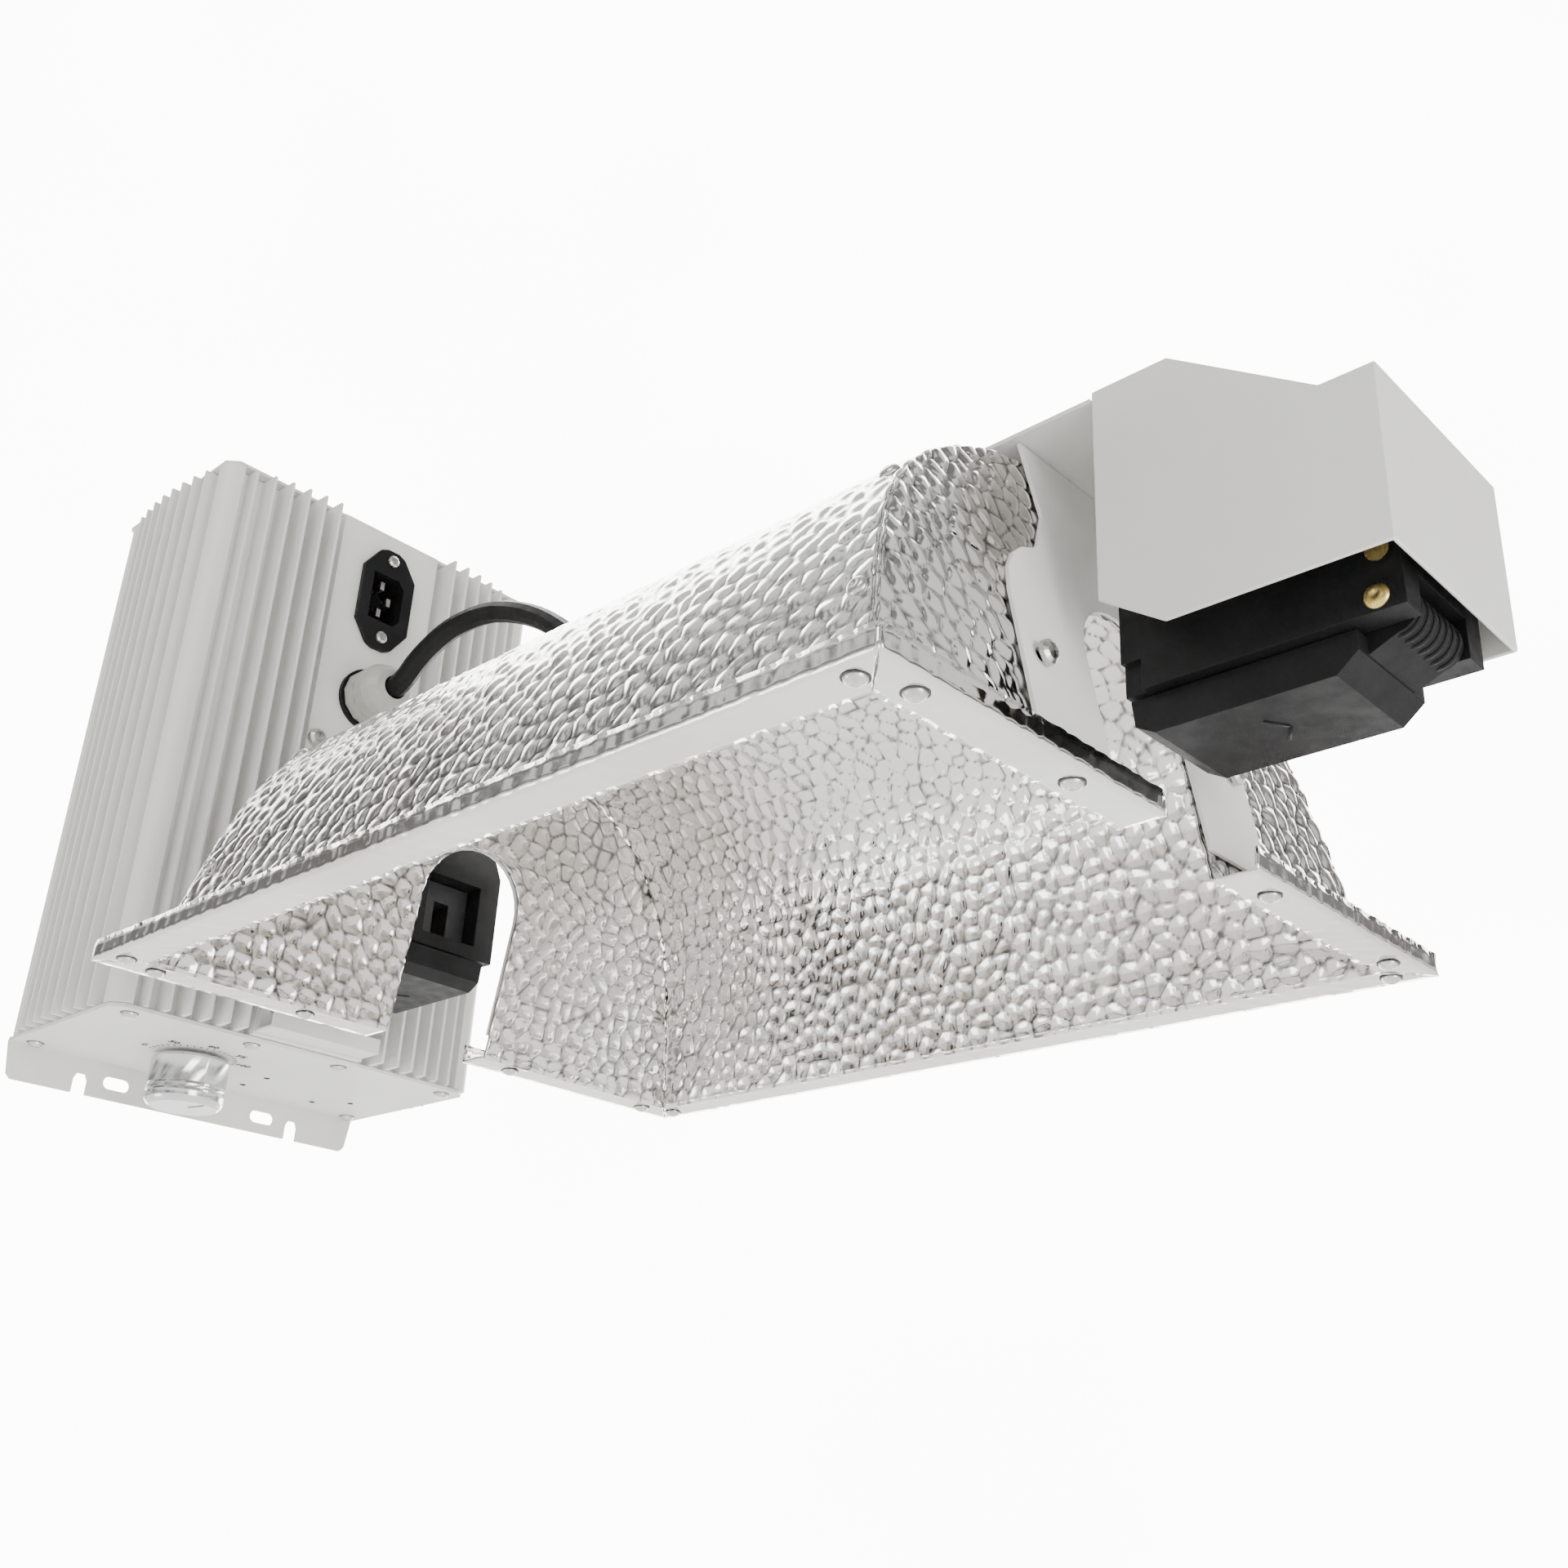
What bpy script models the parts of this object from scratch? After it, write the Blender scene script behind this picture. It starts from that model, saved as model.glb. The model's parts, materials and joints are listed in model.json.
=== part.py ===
# Double-ended grow lamp: finned ballast, spine, hooded sockets and an open reflector.
# Metres, +Z up. X runs along the lamp axis from the ballast to the hood; z = 0 is the reflector rim.
import bpy, bmesh, math
from mathutils import Vector, Matrix

MM = 0.001
GAP = 0.3
# reflector
RIM_X, RIM_Y = 170.0, 129.0          # half size of the outer rim
WALL_X, WALL_Y = 156.3, 115.3        # half size at the flange's inner edge
SLOPE = 0.2                          # end panels lean in by this much per unit of height
SHEET = 0.9
LIP = 7.0
ARCH_R, ARCH_Z = 22.0, 52.0
PROFILE = [(115.3, 0.0), (113.2, 9.0), (110.2, 21.0), (105.2, 40.0), (101.6, 51.0), (97.4, 62.0), (91.6, 73.0),
           (84.0, 83.0), (74.0, 92.5), (62.0, 101.0), (50.0, 107.3), (38.0, 112.0), (25.0, 115.3), (12.0, 117.2), (0.15, 117.8)]
# spine and hood
SPINE_Z, SPINE_T, SPINE_W = 120.4, 1.5, 33.85
HOOD_T = 1.2
# ballast
BX0, BX1, BY, BZ0, BZ1 = -341.0, -249.8, 83.7, 12.8, 258.5
PANEL_X, PANEL_HALF = -247.0, 25.6
PLATE_T = 1.5
KNOB_X, KNOB_Y, KNOB_R = -295.8, -25.0, 15.5
INLET_Z, GLAND_Z = 223.5, 172.0
# sockets (given for the +X side, the other is mirrored)
SX0, SX1, SW, SZ0, SZ1 = 158.0, 234.0, 21.0, 37.0, 88.0
HINGE_X, HINGE_Z = 227.0, 39.5

for o in list(bpy.data.objects):
    bpy.data.objects.remove(o, do_unlink=True)
for c in list(bpy.data.collections):
    bpy.data.collections.remove(c)
PARTS = bpy.data.collections.new("grow_lamp")
CUT = bpy.data.collections.new("cutters")
bpy.context.scene.collection.children.link(PARTS)
bpy.context.scene.collection.children.link(CUT)

COL = {"white": (0.80, 0.80, 0.78, 0.0, 0.45), "mirror": (0.85, 0.85, 0.86, 1.0, 0.18), "black": (0.02, 0.02, 0.02, 0.0, 0.45),
       "steel": (0.6, 0.6, 0.6, 1.0, 0.3), "brass": (0.75, 0.55, 0.2, 1.0, 0.3), "knob": (0.7, 0.7, 0.72, 1.0, 0.3),
       "ceramic": (0.85, 0.84, 0.8, 0.0, 0.5), "grey": (0.5, 0.5, 0.47, 0.0, 0.4), "pcb": (0.05, 0.3, 0.12, 0.0, 0.5),
       "rubber": (0.02, 0.02, 0.02, 0.0, 0.6), "copper": (0.6, 0.3, 0.15, 1.0, 0.4), "ballast": (0.78, 0.78, 0.76, 0.0, 0.5)}


def mat(node, kind):
    m = bpy.data.materials.new(node)
    m.use_nodes = True
    b = m.node_tree.nodes.get("Principled BSDF")
    r, g, bl, me, ro = COL[kind]
    b.inputs["Base Color"].default_value = (r, g, bl, 1)
    b.inputs["Metallic"].default_value = me
    b.inputs["Roughness"].default_value = ro
    return m


def finish(bm, name, kind, smooth=False, cutter=False):
    bmesh.ops.remove_doubles(bm, verts=bm.verts, dist=1e-6)
    bmesh.ops.recalc_face_normals(bm, faces=bm.faces)
    me = bpy.data.meshes.new(name)
    bm.to_mesh(me)
    bm.free()
    o = bpy.data.objects.new(name, me)
    if smooth:
        for p in me.polygons:
            p.use_smooth = True
    if cutter:
        CUT.objects.link(o)
        o.hide_render = True
        o.display_type = "WIRE"
    else:
        PARTS.objects.link(o)
        me.materials.append(mat(name, kind))
    return o


def prism(pts, axis, a, b, shear=0.0):
    """Closed prism: pts is an outline in the other two axes, from a to b (mm) along axis.
    shear moves x by -shear*z."""
    bm = bmesh.new()

    def v(p, t):
        if axis == "x":
            c = [t, p[0], p[1]]
        elif axis == "y":
            c = [p[0], t, p[1]]
        else:
            c = [p[0], p[1], t]
        c[0] -= shear * c[2]
        return bm.verts.new([q * MM for q in c])
    lo = [v(p, a) for p in pts]
    hi = [v(p, b) for p in pts]
    bm.faces.new(lo)
    bm.faces.new(list(reversed(hi)))
    n = len(pts)
    for i in range(n):
        j = (i + 1) % n
        bm.faces.new([lo[j], lo[i], hi[i], hi[j]])
    bmesh.ops.triangulate(bm, faces=[f for f in bm.faces if len(f.verts) > 4])
    return bm


def channel(outer, inner, a, b):
    """Folded strip along Y: outer and inner faces of the fold as matching points (x, z)."""
    bm = bmesh.new()
    rows = [[[bm.verts.new((p[0] * MM, t * MM, p[1] * MM)) for p in path] for path in (outer, inner)] for t in (a, b)]
    (o0, i0), (o1, i1) = rows
    n = len(outer)
    for k in range(n - 1):
        bm.faces.new([o0[k], o0[k + 1], i0[k + 1], i0[k]])
        bm.faces.new([o1[k + 1], o1[k], i1[k], i1[k + 1]])
        bm.faces.new([o0[k + 1], o0[k], o1[k], o1[k + 1]])
        bm.faces.new([i0[k], i0[k + 1], i1[k + 1], i1[k]])
    for k in (0, n - 1):
        bm.faces.new([o0[k], i0[k], i1[k], o1[k]] if k == 0 else [i0[k], o0[k], o1[k], i1[k]])
    return bm


def block(x0, x1, y0, y1, z0, z1):
    return prism([(x0, y0), (x1, y0), (x1, y1), (x0, y1)], "z", z0, z1)


def cyl(axis, c, r, a, b, n=32):
    """Round solid about axis; c is its centre in the other two axes."""
    pts = [(c[0] + r * math.cos(2 * math.pi * i / n), c[1] + r * math.sin(2 * math.pi * i / n)) for i in range(n)]
    return prism(pts, axis, a, b)


def boolean(o, tools, op="DIFFERENCE"):
    """Applies EXACT booleans of the tool objects to o."""
    for t in tools:
        m = o.modifiers.new("b", "BOOLEAN")
        m.operation = op
        m.solver = "EXACT"
        m.object = t
    bpy.context.view_layer.update()
    dg = bpy.context.evaluated_depsgraph_get()
    me = bpy.data.meshes.new_from_object(o.evaluated_get(dg))
    old = o.data
    mats = [m for m in old.materials]
    o.modifiers.clear()
    o.data = me
    if not me.materials:
        for m in mats:
            me.materials.append(m)
    for t in tools:
        bpy.data.objects.remove(t, do_unlink=True)
    bm = bmesh.new()
    bm.from_mesh(me)
    bmesh.ops.remove_doubles(bm, verts=bm.verts, dist=1e-6)
    bmesh.ops.triangulate(bm, faces=[f for f in bm.faces if len(f.verts) > 4])
    bm.to_mesh(me)
    bm.free()
    return o


K = [0]


def tool(bm):
    K[0] += 1
    return finish(bm, "cut_%d" % K[0], "white", cutter=True)


def turned(name, kind, prof, axis, centre, n=36):
    """Screw modifier round a closed half profile [(r, t)], r = 0 at both ends; t runs along axis."""
    me = bpy.data.meshes.new(name)
    me.from_pydata([(r * MM, 0, t * MM) for r, t in prof], [(i, i + 1) for i in range(len(prof) - 1)], [])
    o = bpy.data.objects.new(name, me)
    PARTS.objects.link(o)
    s = o.modifiers.new("turn", "SCREW")
    s.steps = n
    s.render_steps = n
    s.use_merge_vertices = True
    s.merge_threshold = 0.00001
    s.use_smooth_shade = True
    bpy.context.view_layer.update()
    dg = bpy.context.evaluated_depsgraph_get()
    m2 = bpy.data.meshes.new_from_object(o.evaluated_get(dg))
    o.modifiers.clear()
    o.data = m2
    bm = bmesh.new()
    bm.from_mesh(m2)
    rot = {"z": Matrix.Identity(4), "x": Matrix.Rotation(math.pi / 2, 4, "Y"), "y": Matrix.Rotation(-math.pi / 2, 4, "X")}[axis]
    bmesh.ops.transform(bm, matrix=Matrix.Translation(Vector(centre) * MM) @ rot, verts=bm.verts)
    bmesh.ops.remove_doubles(bm, verts=bm.verts, dist=1e-6)
    bmesh.ops.recalc_face_normals(bm, faces=bm.faces)
    bm.to_mesh(m2)
    bm.free()
    m2.materials.clear()
    m2.materials.append(mat(name, kind))
    return o


def bevel(o, w, seg=2, ang=30):
    m = o.modifiers.new("bev", "BEVEL")
    m.width = w * MM
    m.segments = seg
    m.limit_method = "ANGLE"
    m.angle_limit = math.radians(ang)
    return o


# ---------------------------------------------------------------- reflector
def offset_profile(pts, d):
    out = []
    for i, p in enumerate(pts):
        a = pts[max(i - 1, 0)]
        b = pts[min(i + 1, len(pts) - 1)]
        if 0 < i < len(pts) - 1:
            v1 = Vector((p[0] - a[0], p[1] - a[1])).normalized()
            v2 = Vector((b[0] - p[0], b[1] - p[1])).normalized()
            n1 = Vector((v1.y, -v1.x))
            n2 = Vector((v2.y, -v2.x))
            n = (n1 + n2).normalized()
            k = d / max(n.dot(n1), 0.2)
        else:
            v = Vector((b[0] - a[0], b[1] - a[1])).normalized()
            n = Vector((v.y, -v.x))
            k = d
        out.append((p[0] + n.x * k, p[1] + n.y * k))
    return out


def side_panel(name, sign):
    full = [(RIM_Y, LIP), (RIM_Y, 0.0)] + PROFILE
    off = offset_profile(full, SHEET)
    off[-1] = (full[-1][0], off[-1][1])
    off[0] = (off[0][0], full[0][1])

    def xend(p):
        if p[0] > WALL_Y + 0.9 and p[1] < LIP + 1:
            return WALL_X + (p[0] - WALL_Y) - 0.25
        return WALL_X - 0.3 - SLOPE * p[1]
    bm = bmesh.new()
    rows = []
    for p, q in zip(full, off):
        xa, xb = xend(p), xend(q) if full.index(p) > 1 else WALL_X + (q[0] - WALL_Y) - 0.25
        if full.index(p) == 2:
            xa = xb = WALL_X - 0.3
        rows.append([bm.verts.new((s * x * MM, sign * r[0] * MM, r[1] * MM)) for s in (-1, 1) for r, x in ((p, xa), (q, xb))])
    for a, b in zip(rows, rows[1:]):
        for i, j in ((0, 1), (1, 3), (3, 2), (2, 0)):
            bm.faces.new([a[i], a[j], b[j], b[i]])
    bm.faces.new([rows[0][i] for i in (0, 1, 3, 2)])
    bm.faces.new([rows[-1][i] for i in (0, 1, 3, 2)])
    return finish(bm, name, "mirror")


def arch(r, z, bottom, n=16):
    pts = [(r, bottom), (r, z)]
    pts += [(r * math.cos(math.pi * i / n), z + r * math.sin(math.pi * i / n)) for i in range(1, n)]
    pts += [(-r, z), (-r, bottom)]
    return pts


def end_panel(name, s):
    outl = [(y + 0.3 if i == 0 else y, z) for i, (y, z) in enumerate(offset_profile(PROFILE, SHEET))]
    outl[0] = (WALL_Y + 0.4, 0.0)
    right = [(y, z) for y, z in outl]
    left = [(-y, z) for y, z in reversed(outl)]
    left[0] = (-0.15, outl[-1][1])
    bm = prism(right + left, "x", WALL_X, WALL_X + SHEET, SLOPE)
    o = finish(bm, name, "mirror")
    adds = []
    for t in (-1, 1):
        f = [(WALL_X - 0.0, t * 20.0), (WALL_X, t * (WALL_Y - 0.05)), (RIM_X, t * (RIM_Y - 0.3)), (RIM_X, t * 20.0)]
        adds.append(tool(prism(f, "z", 0.0, SHEET)))
        f = [(RIM_X - SHEET, t * 20.0), (RIM_X - SHEET, t * (RIM_Y - SHEET - 0.3)), (RIM_X, t * (RIM_Y - 0.3)), (RIM_X, t * 20.0)]
        adds.append(tool(prism(f, "z", 0.2, LIP)))
    boolean(o, adds, "UNION")
    boolean(o, [tool(prism(arch(ARCH_R, ARCH_Z, -10.0), "x", 120.0, 190.0))])
    if s < 0:
        mirror_x(o)
    return o


def mirror_x(o):
    bm = bmesh.new()
    bm.from_mesh(o.data)
    bmesh.ops.scale(bm, vec=(-1, 1, 1), verts=bm.verts)
    bmesh.ops.reverse_faces(bm, faces=bm.faces)
    bm.to_mesh(o.data)
    bm.free()
    return o


side_panel("reflector_side_near", -1)
side_panel("reflector_side_far", 1)
end_panel("reflector_end_hood", 1)
end_panel("reflector_end_ballast", -1)


# ---------------------------------------------------------------- bracket plates, spine, hood
def bracket(name, s):
    half = [(53.5, 9.0), (53.5, 58.0), (52.0, 66.0), (48.5, 72.0), (43.5, 76.5), (37.0, 79.5), (34.5, 82.0), (28.5, 95.0), (31.5, 119.9)]
    pts = half + [(-y, z) for y, z in reversed(half)]
    o = finish(prism(pts, "x", WALL_X + SHEET + 0.4, WALL_X + SHEET + 1.6, SLOPE), name, "white")
    boolean(o, [tool(prism(arch(ARCH_R, ARCH_Z, -10.0), "x", 120.0, 190.0))])
    # the feet stand on the flange's inside, held by one screw a leg
    for t in (-1, 1):
        boolean(o, [tool(cyl("x", (t * 45.6, 41.0), 2.2, 120.0, 190.0, 20))])
    if s < 0:
        mirror_x(o)
    return o


bracket("bracket_plate_hood", 1)
bracket("bracket_plate_ballast", -1)
spine = finish(block(PANEL_X + GAP, 181.0, -SPINE_W, SPINE_W, SPINE_Z, SPINE_Z + SPINE_T), "spine_plate", "white")
boolean(spine, [tool(block(PANEL_X + GAP, PANEL_X + GAP + 1.5, -25.0, 25.0, 98.0, SPINE_Z + 0.5))], "UNION")
boolean(spine, [tool(cyl("z", (-84.0, 10.0), 7.2, 110, 130, 32))])
boolean(spine, [tool(block(-260.0, -239.8, 28.5, 40.0, 110, 130)), tool(block(-260.0, -239.8, -40.0, -28.5, 110, 130))])
for t in (-16.0, 16.0):
    boolean(spine, [tool(cyl("x", (t, 108.0), 2.2, -250.0, -240.0, 20))])
for hx in (-150.0, 120.0):
    boolean(spine, [tool(prism([(hx - 9, -3), (hx + 9, -3), (hx + 9, 3), (hx - 9, 3)], "z", 110, 130))])

HP = [(160.0, 58.6), (179.0, 46.0), (238.2, 46.0), (238.2, 95.0), (223.7, 95.0), (183.3, 123.6), (160.0, 123.6)]
hood = finish(prism(HP, "y", -SPINE_W, SPINE_W), "hood", "white")
HI = [(140.0, 20.0), (238.2 - HOOD_T, 20.0), (238.2 - HOOD_T, 95.0 - HOOD_T), (223.3, 95.0 - HOOD_T), (182.9, 123.6 - HOOD_T), (140.0, 123.6 - HOOD_T)]
boolean(hood, [tool(prism(HI, "y", -SPINE_W + HOOD_T, SPINE_W - HOOD_T))])
# the spine runs in under the hood, so it is narrowed there
boolean(spine, [tool(block(159.6, 190.0, SPINE_W - HOOD_T - 0.3, 40.0, 110, 130)), tool(block(159.6, 190.0, -40.0, -SPINE_W + HOOD_T + 0.3, 110, 130))])


# ---------------------------------------------------------------- sockets
def flip(bm, s):
    if s < 0:
        bmesh.ops.scale(bm, vec=(-1, 1, 1), verts=bm.verts)
        bmesh.ops.reverse_faces(bm, faces=bm.faces)
    return bm


def socket(tag, s):
    body_pts = [(SX0, SZ0), (SX1 - 18, SZ0), (SX1 - 18, SZ0), (SX1, SZ0), (SX1, SZ1 - 8), (SX1 - 8, SZ1), (SX0 + 8, SZ1), (SX0, SZ1 - 16)]
    body_pts.pop(1)
    o = finish(flip(prism(body_pts, "y", -SW, SW), s), "socket_body_" + tag, "black")
    cuts = [tool(flip(block(SX0 - 5, SX0 + 36, -12, 12, 42, 66), s)),
            tool(flip(block(SX1 - 20, SX1 + 5, -13, 13, SZ0 - 5, 48.0), s)),
            tool(flip(cyl("y", (HINGE_X, HINGE_Z + 1.5), 1.85, -30, 30, 20), s)),
            tool(flip(block(SX1 - 11, SX1 + 5, -8, 8, 56, 70), s)),
            tool(flip(block(SX0 + 44, SX0 + 62, -SW - 5, -SW + 2, 56, 78), s)),
            tool(flip(block(SX0 - 5, SX0 + 6, -SW - 5, -SW + 2, SZ0 - 2, 46), s))]
    boolean(o, cuts)
    hz = HINGE_Z + 1.5
    # lower locking cap
    cap = [(SX0 + 0.5, 36.4), (SX0 + 1.5, 29.0), (SX0 + 7, 26.0), (SX0 + 56, 26.0), (SX0 + 62, 31.0), (SX0 + 62, 36.4)]
    c = finish(flip(prism(cap, "y", -17.5, 17.5), s), "socket_cap_" + tag, "black")
    arm = [(SX0 + 54, 28.0), (HINGE_X + 1, hz - 5.8), (HINGE_X + 1, hz + 1.0), (SX0 + 57.5, hz - 5.5), (SX0 + 54, 35.0)]
    boolean(c, [tool(flip(prism(arm, "y", -12.4, 12.4), s)), tool(flip(cyl("y", (HINGE_X, hz), 6.0, -12.4, 12.4, 32), s))], "UNION")
    boolean(c, [tool(flip(cyl("y", (HINGE_X, hz), 1.75, -20, 20, 24), s))])
    piv = bpy.data.objects.new("pivot_cap_" + tag, None)
    PARTS.objects.link(piv)
    piv.location = (s * HINGE_X * MM, 0, hz * MM)
    bpy.context.view_layer.update()
    c.parent = piv
    c.matrix_parent_inverse = piv.matrix_world.inverted()
    finish(flip(cyl("y", (HINGE_X, hz), 1.6, -SW + 0.5, SW - 0.5, 24), s), "socket_pin_" + tag, "steel", True)
    # ceramic insert with the slot for a lamp pin, and its contact
    ins = finish(flip(block(SX0 + 8, SX0 + 35.6, -11.6, 11.6, 42.4, 65.6), s), "socket_ceramic_" + tag, "ceramic")
    boolean(ins, [tool(flip(block(SX0 + 4, SX0 + 28, -3.4, 3.4, 40, 58), s))])
    finish(flip(prism([(SX0 + 10, 43.5), (SX0 + 27.6, 43.5), (SX0 + 27.6, 57.6), (SX0 + 26.4, 57.6), (SX0 + 26.4, 44.7), (SX0 + 10, 44.7)], "y", -2.8, 2.8), s), "socket_contact_" + tag, "brass")
    # hanger channel between the socket and the spine
    a, b = SZ1 + GAP, SPINE_Z - GAP
    h = channel([(SX0 + 46, a), (SX0 + 10, a), (SX0 + 10, b), (SX0 + 21.5, b)],
                [(SX0 + 46, a + 1.5), (SX0 + 11.5, a + 1.5), (SX0 + 11.5, b - 1.5), (SX0 + 21.5, b - 1.5)], -19, 19)
    finish(flip(h, s), "socket_hanger_" + tag, "white")
    # brass rivet head on the side
    turned("socket_rivet_" + tag, "brass", [(0.0, 1.6), (1.4, 1.5), (2.6, 0.9), (3.0, 0.0), (0.0, 0.0)][::-1] if False else [(0.0, 0.0), (3.0, 0.0), (2.6, 0.9), (1.4, 1.5), (0.0, 1.6)],
           "y", (s * (SX1 - 5.0), -SW - 1.9, 52.0), 24)


socket("hood", 1)
socket("ballast", -1)

# ---------------------------------------------------------------- ballast
ROOT_X1, ROOT_X0, ROOT_Y = -255.0, -335.5, 77.5


def bulge(d, span, top):
    return top * max(0.0, 1.0 - (d / span) ** 2)


def ballast_outline():
    """Outline, anticlockwise seen from above, starting at the +X side's low-Y post."""
    pts = []

    def post(cx, cy, sx, sy):
        # rounded corner post; sx, sy point outwards
        r = 5.5
        a0 = {(1, -1): -90, (1, 1): 0, (-1, 1): 90, (-1, -1): 180}[(sx, sy)]
        return [(cx - sx * r + r * math.cos(math.radians(a0 + 18 * i)), cy - sy * r + r * math.sin(math.radians(a0 + 18 * i))) for i in range(6)]

    w0, w1 = 2.6, 1.3
    # +X side, going up in y
    pts += [(BX1 - 8.3, -BY)] + post(BX1, -BY, 1, -1) + [(BX1, -75.6), (ROOT_X1, -75.2)]
    for k in range(6):
        y = -70.6 + 7.75 * k
        tip = BX1 + bulge(abs(y) - 30, 45, 9.0)
        pts += [(ROOT_X1, y - w0 / 2), (tip, y - w1 / 2), (tip, y + w1 / 2), (ROOT_X1, y + w0 / 2)]
    pts += [(ROOT_X1, -PANEL_HALF), (PANEL_X, -PANEL_HALF), (PANEL_X, PANEL_HALF), (ROOT_X1, PANEL_HALF)]
    for k in range(6):
        y = 70.6 - 7.75 * (5 - k)
        tip = BX1 + bulge(abs(y) - 30, 45, 9.0)
        pts += [(ROOT_X1, y - w0 / 2), (tip, y - w1 / 2), (tip, y + w1 / 2), (ROOT_X1, y + w0 / 2)]
    pts += [(ROOT_X1, 75.2), (BX1, 75.6)] + post(BX1, BY, 1, 1) + [(BX1 - 8.3, BY), (BX1 - 8.6, ROOT_Y)]
    xs = [-266.5 - 8.4 * k for k in range(8)]
    for x in xs:
        t = BY + bulge(x + 296, 40, 5.0)
        pts += [(x + w0 / 2, ROOT_Y), (x + w1 / 2, t), (x - w1 / 2, t), (x - w0 / 2, ROOT_Y)]
    pts += [(BX0 + 8.6, ROOT_Y), (BX0 + 8.3, BY)] + post(BX0, BY, -1, 1) + [(BX0, 75.6), (ROOT_X0, 75.2)]
    ys = [67.0 - 8.4 * k for k in range(17)]
    for y in ys:
        if abs(y) > 70:
            continue
        pts += [(ROOT_X0, y + w0 / 2), (BX0 + 0.4, y + w1 / 2), (BX0 + 0.4, y - w1 / 2), (ROOT_X0, y - w0 / 2)]
    pts += [(ROOT_X0, -75.2), (BX0, -75.6)] + post(BX0, -BY, -1, -1) + [(BX0 + 8.3, -BY), (BX0 + 8.6, -ROOT_Y)]
    for x in reversed(xs):
        t = BY + bulge(x + 296, 40, 5.0)
        pts += [(x - w0 / 2, -ROOT_Y), (x - w1 / 2, -t), (x + w1 / 2, -t), (x + w0 / 2, -ROOT_Y)]
    pts += [(BX1 - 8.6, -ROOT_Y)]
    return pts


def outline_solid(loops, z0, z1):
    """Extruded 2-D curve with holes, as a bmesh."""
    c = bpy.data.curves.new("outline", "CURVE")
    c.dimensions = "2D"
    c.fill_mode = "BOTH"
    c.extrude = (z1 - z0) / 2 * MM
    for loop in loops:
        s = c.splines.new("POLY")
        s.points.add(len(loop) - 1)
        for q, v in zip(s.points, loop):
            q.co = (v[0] * MM, v[1] * MM, 0, 1)
        s.use_cyclic_u = True
    o = bpy.data.objects.new("outline", c)
    PARTS.objects.link(o)
    bpy.context.view_layer.update()
    me = bpy.data.meshes.new_from_object(o.evaluated_get(bpy.context.evaluated_depsgraph_get()))
    bpy.data.objects.remove(o, do_unlink=True)
    bm = bmesh.new()
    bm.from_mesh(me)
    bmesh.ops.translate(bm, vec=(0, 0, (z0 + z1) / 2 * MM), verts=bm.verts)
    return bm


bx0, bx1, by1 = ROOT_X0 + 3.5, ROOT_X1 - 3.5, ROOT_Y - 3.5
bm = outline_solid([ballast_outline(), [(bx0, -by1), (bx1, -by1), (bx1, by1), (bx0, by1)]], BZ0, BZ1)
body = finish(bm, "ballast_body", "ballast")
body.data.materials.clear()
body.data.materials.append(mat("ballast_body_m", "ballast"))
# inlet opening, gland hole
boolean(body, [tool(prism([(-11.3, INLET_Z - 13.8), (11.3, INLET_Z - 13.8), (11.3, INLET_Z + 13.8), (-11.3, INLET_Z + 13.8)], "x", -262, -240)),
               tool(cyl("x", (0, GLAND_Z), 8.4, -262, -240, 32))])


def plate(name, z, ear):
    o = finish(prism([(-342.4, -82.0), (-341.0, -83.2), (-255.0, -83.2), (-250.2, -78.5), (-250.2, 78.5), (-255.0, 83.2), (-341.0, 83.2), (-342.4, 82.0)], "z", z, z + PLATE_T), name, "white")
    if ear:
        e = [(-81.5, -2.0), (-79.5, -4.0), (79.5, -4.0), (81.5, -2.0), (83.0, 11.6), (-83.0, 11.6)]
        e = [(-83.0, 11.6), (-81.0, -2.0), (-79.0, -4.0), (79.0, -4.0), (81.0, -2.0), (83.0, 11.6)]
        boolean(o, [tool(prism(e, "x", -342.4, -340.9))], "UNION")
        cuts = []
        for y in (-50.0, 52.0):
            cuts.append(tool(prism([(y - 3.2, -8), (y + 3.2, -8), (y + 3.2, 2.0), (y + 1.9, 4.6), (y - 1.9, 4.6), (y - 3.2, 2.0)], "x", -346, -337)))
        for y in (-34.0, 36.5):
            cuts.append(tool(prism([(y + sg * 3.4 + 2.7 * math.cos(math.radians(a)), 3.2 + 2.7 * math.sin(math.radians(a))) for sg, aa in ((1, range(-90, 91, 22)), (-1, range(90, 271, 22))) for a in aa], "x", -346, -337)))
        cuts.append(tool(cyl("z", (KNOB_X, KNOB_Y), 5.0, 5, 20, 32)))
        boolean(o, cuts)
    return o


plate("ballast_bottom_plate", BZ0 - GAP - PLATE_T, True)
plate("ballast_top_plate", BZ1 + GAP, False)

# inlet: flange with a stepped outline, recess, three pins
fl = [(-13.5, -14), (-6.5, -24), (-3, -25.6), (3, -25.6), (6.5, -24), (13.5, -14), (13.5, 14), (6.5, 24), (3, 25.6), (-3, 25.6), (-6.5, 24), (-13.5, 14)]
inl = finish(prism([(y, z + INLET_Z) for y, z in fl], "x", PANEL_X + 0.2, PANEL_X + 3.2), "inlet_housing", "black")
boolean(inl, [tool(prism([(-10.9, INLET_Z - 13.4), (10.9, INLET_Z - 13.4), (10.9, INLET_Z + 13.4), (-10.9, INLET_Z + 13.4)], "x", -268, PANEL_X + 1))], "UNION")
rc = [(-8.2, -11.8), (5.2, -11.8), (8.2, -8.4), (8.2, 8.4), (5.2, 11.8), (-8.2, 11.8)]
boolean(inl, [tool(prism([(y, z + INLET_Z) for y, z in rc], "x", -262, -240))])
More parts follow.
